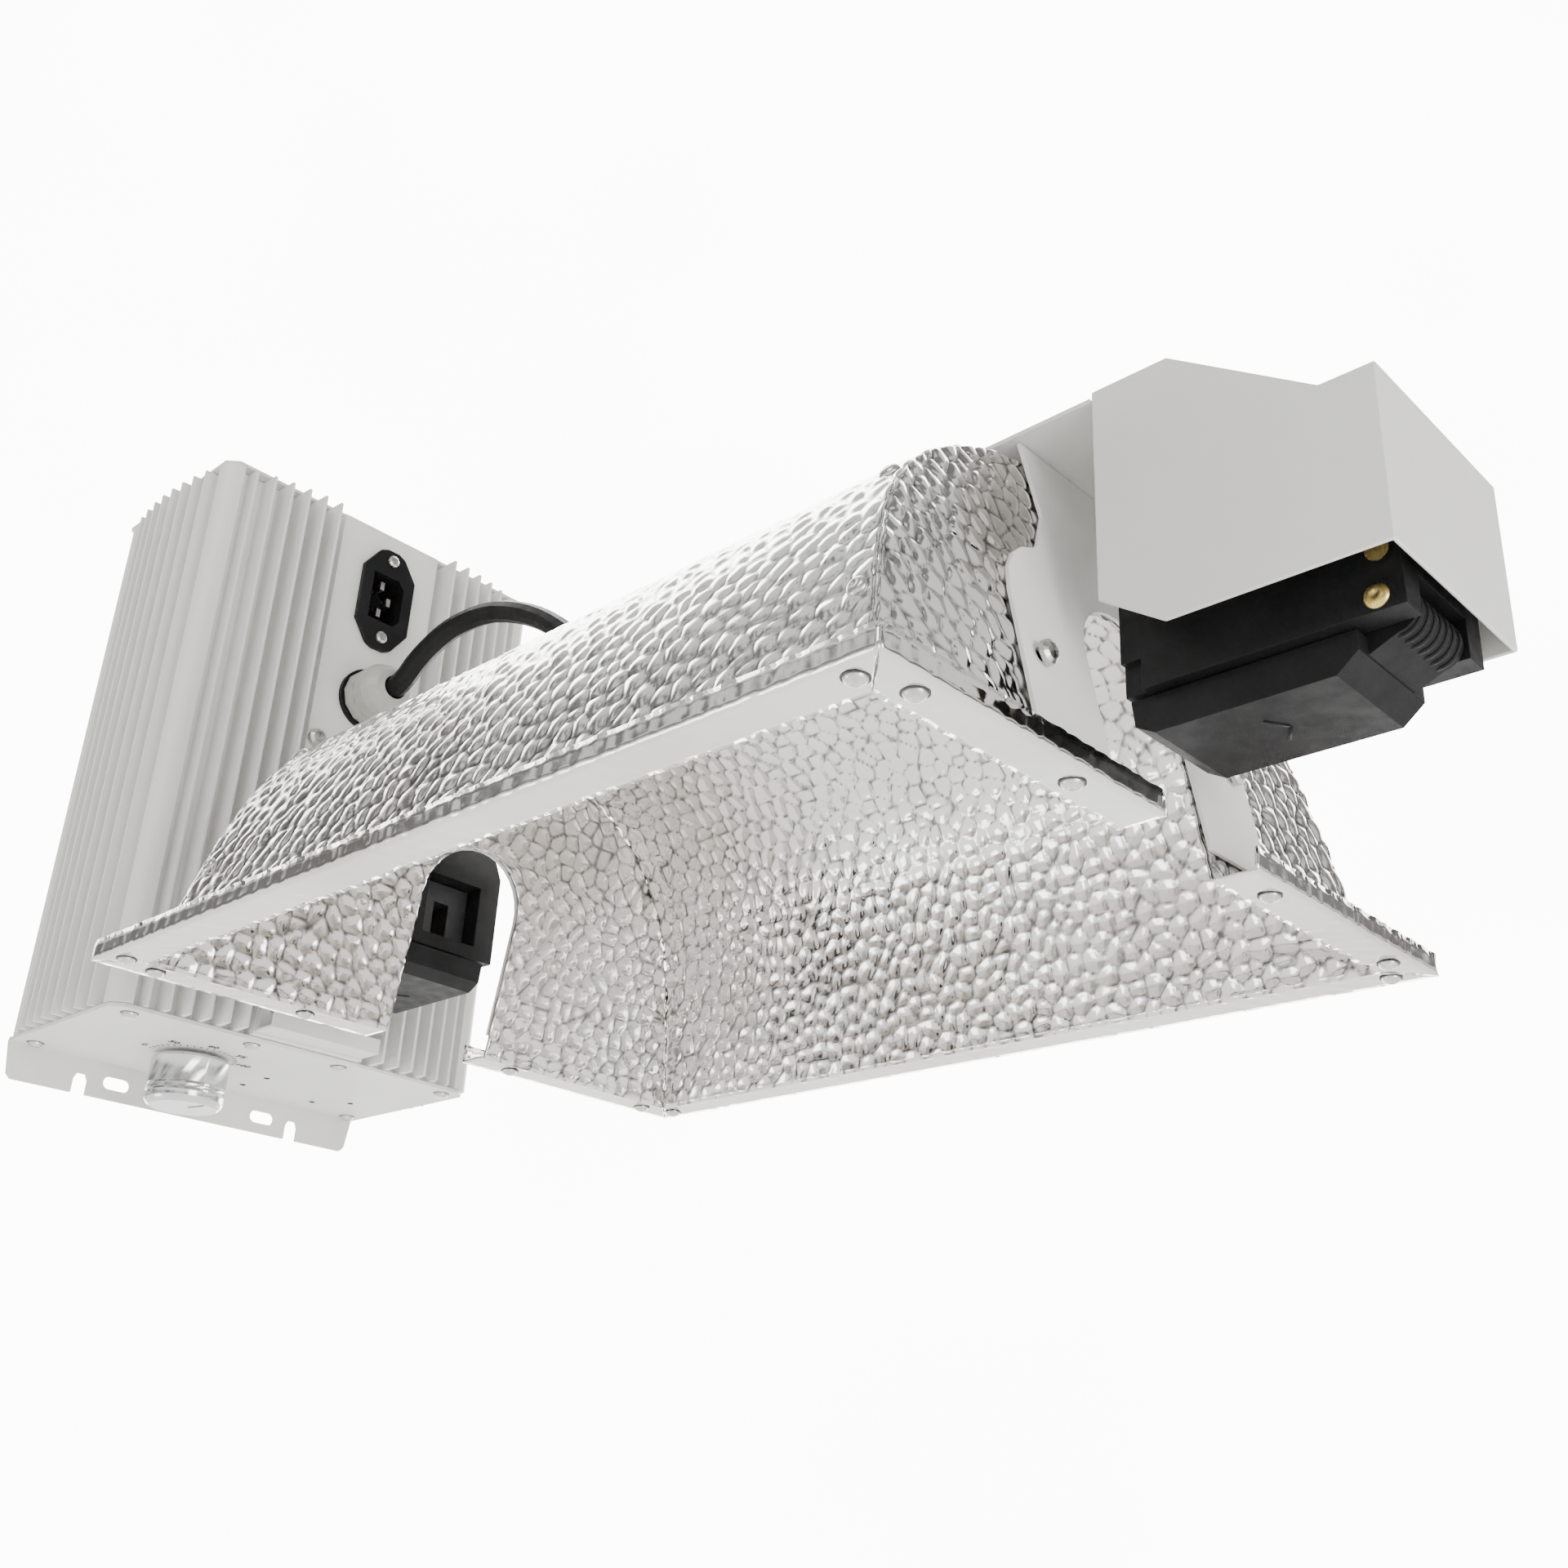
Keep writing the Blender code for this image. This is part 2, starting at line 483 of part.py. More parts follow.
for i, (y, z) in enumerate(((-2.0, 7.0), (2.2, 0.0), (-2.0, -7.0))):
    finish(prism([(y - 1.0, INLET_Z + z - 2.0), (y + 1.0, INLET_Z + z - 2.0), (y + 1.0, INLET_Z + z + 2.0), (y - 1.0, INLET_Z + z + 2.0)], "x", -261.7, -246.0), "inlet_pin_%d" % (i + 1), "steel")


def pan(name, axis, centre, r, h, sgn, kind="steel"):
    pr = [(0.0, 0.0), (r, 0.0), (r * 0.92, h * 0.55), (r * 0.62, h * 0.9), (0.0, h)]
    if sgn < 0:
        pr = [(a, -b) for a, b in pr]
    return turned(name, kind, pr, axis, centre, 20)


pan("inlet_screw_top", "x", (PANEL_X + 3.5, 0, INLET_Z + 20), 3.0, 1.6, 1)
pan("inlet_screw_bottom", "x", (PANEL_X + 3.5, 0, INLET_Z - 20), 3.0, 1.6, 1)
# gland
gb = finish(cyl("x", (0, GLAND_Z), 14.4, PANEL_X + 0.2, PANEL_X + 2.4, 40), "gland_seal", "rubber")
boolean(gb, [tool(cyl("x", (0, GLAND_Z), 5.4, -262, -240, 32))])
gland = finish(cyl("x", (0, GLAND_Z), 13.4, PANEL_X + 2.7, PANEL_X + 9.0, 12), "gland_body", "grey")
boolean(gland, [tool(cyl("x", (0, GLAND_Z), 5.4, -262, -230, 32))])
dome = turned("gland_nut", "grey", [(5.4, 9.3), (13.0, 9.3), (13.0, 15.0), (11.8, 18.0), (8.6, 21.4), (5.4, 22.4), (5.4, 9.3)], "x", (PANEL_X, 0, GLAND_Z), 36)

CABLE = [(-236.0, 0, 172.0), (-230.0, 0, 172.0), (-223.5, 0, 172.1), (-218.0, 0.5, 175.2), (-213.5, 2.0, 181.8), (-207.0, 4.2, 188.6), (-198.0, 6.5, 194.3), (-186.0, 8.4, 196.4),
         (-172.0, 9.6, 195.2), (-156.0, 10.0, 189.6), (-140.0, 10.0, 181.4), (-124.0, 10.0, 170.4), (-109.0, 10.0, 157.4), (-96.0, 10.0, 143.0), (-86.5, 10.0, 133.5), (-84.0, 10.0, 127.5), (-84.0, 10.0, 123.5), (-84.0, 10.0, 119.6)]


def smooth_path(p, n):
    p = [Vector(a) for a in p]
    out = []
    for i in range(len(p) - 1):
        a, b, c, d = p[max(i - 1, 0)], p[i], p[i + 1], p[min(i + 2, len(p) - 1)]
        for k in range(n):
            t = k / n
            out.append(0.5 * (2 * b + (c - a) * t + (2 * a - 5 * b + 4 * c - d) * t * t + (3 * b - a - 3 * c + d) * t ** 3))
    out.append(p[-1])
    return out


cu = bpy.data.curves.new("lamp_cable", "CURVE")
cu.dimensions = "3D"
cu.bevel_depth = 4.75 * MM
cu.bevel_resolution = 3
cu.use_fill_caps = True
sp = cu.splines.new("POLY")
path = smooth_path(CABLE, 3)
sp.points.add(len(path) - 1)
for q, v in zip(sp.points, path):
    q.co = (v.x * MM, v.y * MM, v.z * MM, 1)
oc = bpy.data.objects.new("cable_curve", cu)
PARTS.objects.link(oc)
bpy.context.view_layer.update()
me = bpy.data.meshes.new_from_object(oc.evaluated_get(bpy.context.evaluated_depsgraph_get()))
bpy.data.objects.remove(oc, do_unlink=True)
bm = bmesh.new()
bm.from_mesh(me)
lc = finish(bm, "lamp_cable", "rubber", True)
lc.data.materials.clear()
lc.data.materials.append(mat("lamp_cable_m", "rubber"))
turned("cable_grommet", "rubber", [(5.3, 120.0), (6.8, 120.0), (6.8, 122.2), (9.0, 122.2), (8.6, 124.2), (6.8, 125.0), (5.3, 124.6), (5.3, 120.0)], "z", (-84.0, 10.0, 0), 36)

# dimmer: switch inside, shaft and knob below
finish(block(KNOB_X - 9, KNOB_X + 9, KNOB_Y - 9, KNOB_Y + 9, BZ0 + 1.0, BZ0 + 16.0), "dimmer_switch", "black")
knob_piv = bpy.data.objects.new("pivot_knob", None)
PARTS.objects.link(knob_piv)
knob_piv.location = (KNOB_X * MM, KNOB_Y * MM, 0)
bpy.context.view_layer.update()
KZ = 10.4
kn = turned("dimmer_knob", "knob", [(0.0, KZ - 21.4), (13.6, KZ - 21.4), (14.8, KZ - 20.4), (15.3, KZ - 19.0), (15.5, KZ - 2.0), (14.9, KZ - 1.2), (3.2, KZ - 1.2), (3.2, KZ - 10.0), (0.0, KZ - 10.0)], "z", (KNOB_X, KNOB_Y, 0), 48)
sh = finish(cyl("z", (KNOB_X, KNOB_Y), 3.0, KZ - 9.7, BZ0 + 0.7, 24), "dimmer_shaft", "steel", True)
for o in (kn, sh):
    o.parent = knob_piv
    o.matrix_parent_inverse = knob_piv.matrix_world.inverted()

# plate screws
for i, (x, y) in enumerate(((-334.0, -75.0), (-257.0, -73.0), (-257.0, -20.0), (-257.0, 21.0), (-257.0, 74.0), (-334.0, 76.0))):
    pan("plate_screw_%d" % (i + 1), "z", (x, y, BZ0 - GAP - PLATE_T - 0.2), 3.0, 1.8, -1)
# foot bracket on the panel: a folded channel
fb = channel([(PANEL_X + 13.0, 20.0), (PANEL_X + 13.0, 13.6), (PANEL_X + 0.2, 13.6), (PANEL_X + 0.2, 30.0)],
             [(PANEL_X + 11.8, 20.0), (PANEL_X + 11.8, 14.8), (PANEL_X + 1.4, 14.8), (PANEL_X + 1.4, 30.0)], -25.0, 25.0)
foot = finish(fb, "foot_bracket", "white")
boolean(foot, [tool(cyl("x", (0.0, 24.0), 2.4, -250, -230, 24))])
for i, y in enumerate((-19.0, 19.0)):
    pan("foot_screw_%d" % (i + 1), "x", (PANEL_X + 1.7, y, 25.0), 2.8, 1.7, 1)
pan("panel_screw_near", "x", (PANEL_X + 0.3, -21.0, 145.5), 4.4, 3.0, 1)
pan("panel_screw_far", "x", (PANEL_X + 0.3, 21.0, 145.5), 4.4, 3.0, 1)
for i, y in enumerate((-16.0, 16.0)):
    pan("spine_screw_%d" % (i + 1), "x", (PANEL_X + 2.1, y, 108.0), 3.6, 2.0, 1)
# inside the ballast
finish(block(-322.0, -320.4, -66.0, 66.0, 34.0, 244.0), "control_board", "pcb")
finish(block(-319.0, -266.0, -58.0, -2.0, 60.0, 122.0), "choke", "copper")
finish(cyl("z", (-296.0, 36.0), 17.0, 60.0, 118.0, 32), "capacitor_1", "grey", True)
finish(cyl("z", (-296.0, -36.0), 17.0, 140.0, 198.0, 32), "capacitor_2", "grey", True)
for t in (("hood", 1), ("ballast", -1)):
    pan("bracket_screw_near_" + t[0], "x", (t[1] * (WALL_X + SHEET + 2.9 - SLOPE * 38.0), -45.6, 41.0), 3.6, 2.2, t[1])
    pan("bracket_screw_far_" + t[0], "x", (t[1] * (WALL_X + SHEET + 2.9 - SLOPE * 38.0), 45.6, 41.0), 3.6, 2.2, t[1])
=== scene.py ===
import bpy, bmesh, math, json, random
import numpy as np
from mathutils import Vector, Matrix, kdtree


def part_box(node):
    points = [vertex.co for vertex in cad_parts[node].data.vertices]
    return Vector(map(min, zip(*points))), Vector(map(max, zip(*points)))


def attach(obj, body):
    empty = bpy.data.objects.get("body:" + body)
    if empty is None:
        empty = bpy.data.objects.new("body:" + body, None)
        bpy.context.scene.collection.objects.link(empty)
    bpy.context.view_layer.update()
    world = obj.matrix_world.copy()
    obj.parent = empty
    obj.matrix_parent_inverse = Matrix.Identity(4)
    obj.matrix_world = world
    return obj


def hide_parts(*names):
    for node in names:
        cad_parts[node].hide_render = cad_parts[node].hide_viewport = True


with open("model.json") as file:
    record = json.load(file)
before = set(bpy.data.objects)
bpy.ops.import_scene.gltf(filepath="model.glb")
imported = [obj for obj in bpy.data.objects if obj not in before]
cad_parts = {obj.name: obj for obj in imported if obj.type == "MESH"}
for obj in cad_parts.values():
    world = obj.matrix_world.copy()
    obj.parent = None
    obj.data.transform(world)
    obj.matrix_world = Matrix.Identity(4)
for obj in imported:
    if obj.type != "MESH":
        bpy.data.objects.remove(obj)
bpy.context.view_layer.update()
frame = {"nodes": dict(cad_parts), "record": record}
N = frame["nodes"]
SLOT = {s["node"]: s["material_slot"] for s in frame["record"]["subparts"]}
BODY = {}
for b, ns in frame["record"].get("behaviour", {}).get("bodies", {}).items():
    for n in ns:
        BODY[n] = b
MM = 0.001
random.seed(7)


# ------------------------------------------------------------------ materials
def new(name):
    m = bpy.data.materials.new(name)
    m.use_nodes = True
    nt = m.node_tree
    return m, nt, nt.nodes["Principled BSDF"]


def coords(nt, scale=(1, 1, 1)):
    tc = nt.nodes.new("ShaderNodeTexCoord")
    mp = nt.nodes.new("ShaderNodeMapping")
    mp.inputs["Scale"].default_value = scale
    nt.links.new(tc.outputs["Object"], mp.inputs["Vector"])
    return mp.outputs["Vector"]


def noise(nt, vec, scale, detail=4, rough=0.5):
    n = nt.nodes.new("ShaderNodeTexNoise")
    n.inputs["Scale"].default_value = scale
    n.inputs["Detail"].default_value = detail
    n.inputs["Roughness"].default_value = rough
    nt.links.new(vec, n.inputs["Vector"])
    return n.outputs["Fac"]


def ramp(nt, fac, stops):
    r = nt.nodes.new("ShaderNodeValToRGB")
    while len(r.color_ramp.elements) < len(stops):
        r.color_ramp.elements.new(0.5)
    for e, (p, c) in zip(r.color_ramp.elements, stops):
        e.position = p
        e.color = (c[0], c[1], c[2], 1)
    nt.links.new(fac, r.inputs["Fac"])
    return r.outputs["Color"]


def bump(nt, h, strength, dist, bs):
    b = nt.nodes.new("ShaderNodeBump")
    b.inputs["Strength"].default_value = strength
    b.inputs["Distance"].default_value = dist
    nt.links.new(h, b.inputs["Height"])
    nt.links.new(b.outputs["Normal"], bs.inputs["Normal"])


def surface(name, lo, hi, metal, r0, r1, cscale, bscale, bstr, bdist, stretch=(1, 1, 1), coat=0.0, spec=0.5):
    """Two-tone procedural surface with fine bump and varied roughness."""
    m, nt, bs = new(name)
    v = coords(nt, stretch)
    nt.links.new(ramp(nt, noise(nt, v, cscale, 5), [(0.3, lo), (0.7, hi)]), bs.inputs["Base Color"])
    nt.links.new(ramp(nt, noise(nt, v, cscale * 2.7, 3), [(0.3, (r0,) * 3), (0.7, (r1,) * 3)]), bs.inputs["Roughness"])
    bs.inputs["Metallic"].default_value = metal
    bs.inputs["Coat Weight"].default_value = coat
    bs.inputs["Specular IOR Level"].default_value = spec
    bump(nt, noise(nt, v, bscale, 6, 0.6), bstr, bdist, bs)
    return m


MATS = {
    "white_steel": surface("white_steel_m", (0.71, 0.705, 0.68), (0.765, 0.76, 0.735), 0, 0.42, 0.55, 14, 1500, 0.12, 0.0002),
    "white_extrusion": surface("white_extrusion_m", (0.77, 0.762, 0.735), (0.82, 0.812, 0.788), 0, 0.42, 0.56, 10, 1700, 0.12, 0.0002, (1, 1, 0.35)),
    "hammered_aluminium": surface("hammered_aluminium_m", (0.64, 0.60, 0.565), (0.84, 0.835, 0.825), 1, 0.07, 0.15, 9, 900, 0.05, 0.0002),
    "flange_aluminium": surface("flange_aluminium_m", (0.86, 0.86, 0.85), (0.92, 0.92, 0.91), 1, 0.22, 0.34, 40, 700, 0.06, 0.0002),
    "black_plastic": surface("black_plastic_m", (0.006, 0.006, 0.0065), (0.012, 0.012, 0.013), 0, 0.40, 0.55, 60, 2600, 0.22, 0.00025, (1, 1, 1), 0.0, 0.16),
    "ceramic": surface("ceramic_m", (0.016, 0.016, 0.017), (0.026, 0.026, 0.028), 0, 0.45, 0.6, 90, 2400, 0.2, 0.0002),
    "brass": surface("brass_m", (0.66, 0.48, 0.14), (0.80, 0.62, 0.24), 1, 0.22, 0.38, 160, 2000, 0.15, 0.0002),
    "knob_aluminium": surface("knob_aluminium_m", (0.62, 0.62, 0.62), (0.70, 0.70, 0.70), 1, 0.14, 0.20, 60, 500, 0.02, 0.00005, (0.25, 0.25, 6.0)),
    "grey_plastic": surface("grey_plastic_m", (0.40, 0.40, 0.365), (0.47, 0.47, 0.43), 0, 0.28, 0.42, 50, 1800, 0.15, 0.0002),
    "black_rubber": surface("black_rubber_m", (0.004, 0.004, 0.004), (0.009, 0.009, 0.009), 0, 0.42, 0.55, 70, 1600, 0.22, 0.0002, (1, 1, 1), 0.0, 0.18),
    "board": surface("board_m", (0.02, 0.18, 0.06), (0.04, 0.28, 0.10), 0, 0.35, 0.5, 120, 1500, 0.2, 0.0002),
    "copper_winding": surface("copper_winding_m", (0.40, 0.18, 0.07), (0.60, 0.30, 0.14), 1, 0.3, 0.45, 300, 900, 0.4, 0.0004, (1, 1, 6)),
    "can": surface("can_m", (0.25, 0.26, 0.28), (0.36, 0.37, 0.39), 0, 0.35, 0.5, 60, 1500, 0.15, 0.0002),
    "steel": surface("steel_m", (0.52, 0.51, 0.47), (0.70, 0.69, 0.65), 1, 0.20, 0.36, 240, 2200, 0.2, 0.0002),
    # dark print for the dial marks, ticks and pointer; also the colour of the painted shade discs
    "print": surface("print_and_shade_m", (0.03, 0.03, 0.03), (0.06, 0.06, 0.06), 0, 0.5, 0.6, 200, 2000, 0.1, 0.0001),
}
# painted shade: the sheet's base colour is darkened in its creases, where shade falls; "h" is the relief height in mm,
# kept on the vertices
hm = MATS["hammered_aluminium"]
ht = hm.node_tree
hb = ht.nodes["Principled BSDF"]
at = ht.nodes.new("ShaderNodeAttribute")
at.attribute_name = "h"
crease_painted_shade = ht.nodes.new("ShaderNodeMapRange")
crease_painted_shade.interpolation_type = "SMOOTHSTEP"
crease_painted_shade.inputs["From Min"].default_value = -0.52
crease_painted_shade.inputs["From Max"].default_value = -0.12
crease_painted_shade.inputs["To Min"].default_value = 0.10
crease_painted_shade.inputs["To Max"].default_value = 1.0
ht.links.new(at.outputs["Fac"], crease_painted_shade.inputs["Value"])
crease_shaded_colour = ht.nodes.new("ShaderNodeVectorMath")
crease_shaded_colour.operation = "SCALE"
src = hb.inputs["Base Color"].links[0].from_socket
ht.links.new(src, crease_shaded_colour.inputs[0])
ht.links.new(crease_painted_shade.outputs[0], crease_shaded_colour.inputs["Scale"])
ht.links.new(crease_shaded_colour.outputs[0], hb.inputs["Base Color"])

for n, o in N.items():
    m = MATS[SLOT[n]]
    if not o.data.materials:
        o.data.materials.append(m)
    for s in o.material_slots:
        s.material = m


def add(me, name, slot, body, mat=None):
    o = bpy.data.objects.new(name, me)
    bpy.context.scene.collection.objects.link(o)
    o.data.materials.clear()
    o.data.materials.append(MATS[mat or slot])
    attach(o, body)
    return o


def baked(o):
    bpy.context.view_layer.update()
    me = bpy.data.meshes.new_from_object(o.evaluated_get(bpy.context.evaluated_depsgraph_get()))
    o.modifiers.clear()
    o.data = me
    return o


def from_bm(bm, name, slot, body, mat=None, smooth=True):
    me = bpy.data.meshes.new(name)
    bmesh.ops.recalc_face_normals(bm, faces=bm.faces)
    bm.to_mesh(me)
    bm.free()
    if smooth:
        me.polygons.foreach_set("use_smooth", [True] * len(me.polygons))
    return add(me, name, slot, body, mat)


def refine(node, width, seg=2, ang=28):
    """The CAD piece again with rounded edges."""
    src = N[node]
    me = src.data.copy()
    bm = bmesh.new()
    bm.from_mesh(me)
    bmesh.ops.remove_doubles(bm, verts=bm.verts, dist=1e-6)
    bmesh.ops.dissolve_limit(bm, angle_limit=math.radians(0.5), verts=bm.verts, edges=bm.edges)
    bm.to_mesh(me)
    bm.free()
    o = add(me, node + "_finished", SLOT[node], BODY.get(node, "root"))
    b = o.modifiers.new("edge", "BEVEL")
    b.width = width * MM
    b.segments = seg
    b.limit_method = "ANGLE"
    b.angle_limit = math.radians(ang)
    b.use_clamp_overlap = True
    b.harden_normals = False
    w = o.modifiers.new("wn", "WEIGHTED_NORMAL")
    w.keep_sharp = True
    me.polygons.foreach_set("use_smooth", [True] * len(me.polygons))
    baked(o)
    o.data.materials.clear()
    o.data.materials.append(MATS[SLOT[node]])
    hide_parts(node)
    return o


for node, w in (("hood", 0.55), ("spine_plate", 0.35), ("bracket_plate_hood", 0.35), ("bracket_plate_ballast", 0.35),
                ("socket_body_hood", 0.8), ("socket_body_ballast", 0.8), ("socket_cap_hood", 0.7), ("socket_cap_ballast", 0.7),
                ("inlet_housing", 0.6), ("ballast_bottom_plate", 0.35), ("foot_bracket", 0.35), ("ballast_body", 0.3), ("gland_body", 0.5)):
    refine(node, w, 2 if node != "ballast_body" else 1)

# ------------------------------------------------------------------ hammered reflector, real relief
WX, WY, SL, SH, LIP, RX, RY = 156.3, 115.3, 0.2, 0.9, 7.0, 170.0, 129.0
AR, AZ = 22.0, 52.0
PROF = [(115.3, 0.0), (113.2, 9.0), (110.2, 21.0), (105.2, 40.0), (101.6, 51.0), (97.4, 62.0), (91.6, 73.0),
        (84.0, 83.0), (74.0, 92.5), (62.0, 101.0), (50.0, 107.3), (38.0, 112.0), (25.0, 115.3), (12.0, 117.2), (0.15, 117.8)]
STEP = 1.35


def resample(p, step):
    p = np.array(p, float)
    s = np.concatenate([[0], np.cumsum(np.hypot(*np.diff(p, axis=0).T))])
    n = max(2, int(round(s[-1] / step)) + 1)
    t = np.linspace(0, s[-1], n)
    # smooth curve through the points
    q = np.stack([np.interp(t, s, p[:, 0]), np.interp(t, s, p[:, 1])], 1)
    if n > 12:
        for _ in range(6):
            q[1:-1] = 0.25 * q[:-2] + 0.5 * q[1:-1] + 0.25 * q[2:]
    return q


def pebbles(u, v, seed, pitch=7.2):
    """Relief of a hammered sheet at flat coordinates u, v (mm): domes parted by narrow creases."""
    rnd = np.random.RandomState(seed)
    u0, u1, v0, v1 = u.min() - 20, u.max() + 20, v.min() - 20, v.max() + 20
    pts = []
    j = 0
    y = v0
    while y < v1:
        xs = np.arange(u0 + (pitch / 2 if j % 2 else 0), u1, pitch)
        pts.append(np.stack([xs + rnd.uniform(-0.36, 0.36, len(xs)) * pitch, y + rnd.uniform(-0.36, 0.36, len(xs)) * pitch], 1))
        y += pitch * 0.86
        j += 1
    pts = np.concatenate(pts)
    kd = kdtree.KDTree(len(pts))
    for i, p in enumerate(pts):
        kd.insert((p[0], p[1], 0), i)
    kd.balance()
    amp = rnd.uniform(0.65, 1.25, len(pts))
    tilt = rnd.uniform(-0.5, 0.5, (len(pts), 2))
    out = np.empty(u.size)
    uf, vf = u.ravel(), v.ravel()
    for k in range(u.size):
        r = kd.find_n((uf[k], vf[k], 0), 2)
        d1, d2 = r[0][2], r[1][2]
        i = r[0][1]
        e = min((d2 - d1) / (0.75 * pitch), 1.0)
        c = pts[i]
        out[k] = amp[i] * (1 - (1 - e) ** 2) + (tilt[i, 0] * (uf[k] - c[0]) + tilt[i, 1] * (vf[k] - c[1])) / pitch * 0.55 * min(e * 2.5, 1)
    return out.reshape(u.shape)


def sheet(name, grids, outward, nodes):
    """grids: list of (P[r,c,3] mm, H[r,c] relief mm). One solid sheet, relief along the outward normal."""
    bm = bmesh.new()
    lay = bm.verts.layers.float.new("h")
    lf = bm.verts.layers.float.new("flat")
    for P, H, F in grids:
        R, C = H.shape
        vs = [[bm.verts.new([float(c) * MM for c in P[r, k]]) for k in range(C)] for r in range(R)]
        for r in range(R):
            for k in range(C):
                vs[r][k][lay] = float(H[r, k])
                vs[r][k][lf] = float(F[r])
        for r in range(R - 1):
            for k in range(C - 1):
                f = bm.faces.new([vs[r][k], vs[r][k + 1], vs[r + 1][k + 1], vs[r + 1][k]])
                f.material_index = 1 if (F[r] > 0.5 and F[r + 1] > 0.5) else 0
    bmesh.ops.remove_doubles(bm, verts=bm.verts, dist=2e-5)
    bmesh.ops.recalc_face_normals(bm, faces=bm.faces)
    ref = max(bm.faces, key=lambda f: f.calc_center_median().z if outward == "z" else abs(f.calc_center_median().x) * 0 + f.calc_center_median().z)
    bm.normal_update()
    tot = 0.0
    for f in bm.faces:
        c = f.calc_center_median()
        if c.z > 0.03:
            tot += f.normal.dot(Vector((c.x if outward == "x" else 0, c.y if outward == "y" else 0, 0)))
    if tot < 0:
        bmesh.ops.reverse_faces(bm, faces=bm.faces)
    bm.normal_update()
    for v in bm.verts:
        v.co += v.normal * (v[lay] * MM)
    me = bpy.data.meshes.new(name)
    bm.to_mesh(me)
    bm.free()
    o = add(me, name, "hammered_aluminium", BODY.get(nodes[0], "root"))
    o.data.materials.append(MATS["flange_aluminium"])
    s = o.modifiers.new("t", "SOLIDIFY")
    s.thickness = 0.75 * MM
    s.offset = 1.0
    s.use_even_offset = False
    baked(o)
    o.data.polygons.foreach_set("use_smooth", [True] * len(o.data.polygons))
    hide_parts(*nodes)
    return o


wall = resample(PROF, STEP)
nlip = max(3, int(LIP / STEP / 1.5))
nfl = max(6, int(13.7 / STEP / 1.3))
AMP, AMPF = 0.80, 0.24


def side(name, sign, seed, node):
    rows, flat, arc = [], [], []
    for i in range(nlip):
        z = LIP * (1 - i / nlip)
        rows.append((RY, z, RX - 0.3))
        flat.append(0.4)
    for i in range(nfl):
        y = RY - 13.7 * i / nfl
        rows.append((y, 0.0, WX + (y - WY) - 0.25))
        flat.append(1)
    for y, z in wall:
        rows.append((y, z, WX - 0.3 - SL * z))
        flat.append(0)
    rows = np.array(rows)
    arc = np.concatenate([[0], np.cumsum(np.hypot(*np.diff(rows[:, :2], axis=0).T))])
    nx = int(2 * WX / STEP)
    t = np.linspace(-1, 1, nx)
    P = np.zeros((len(rows), nx, 3))
    P[:, :, 0] = rows[:, 2:3] * t
    P[:, :, 1] = sign * rows[:, 0:1]
    P[:, :, 2] = rows[:, 1:2]
    U = P[:, :, 0]
    V = np.repeat(arc[:, None], nx, 1)
    H = pebbles(U, V, seed)
    flat = np.array(flat)
    k = np.where(flat > 0.5, AMPF, AMP)
    top = np.clip((117.6 - rows[:, 1]) / 3.0, 0.15, 1)
    H = (H - 0.6) * k[:, None] * top[:, None] * np.where(flat[:, None] > 0.5, 1, 1)
    H = np.clip(H, -0.6, 0.45)
    H[flat > 0.5] = np.clip(H[flat > 0.5] + 0.08, 0, 0.3)
    lip = (flat > 0.2) & (flat < 0.5)
    H[lip] = np.clip(0.12 - H[lip] * 0.8, 0.0, 0.5)
    sheet(name, [(P, H, flat)], "y", [node])


side("reflector_near_hammered", -1, 11, "reflector_side_near")
side("reflector_far_hammered", 1, 23, "reflector_side_far")


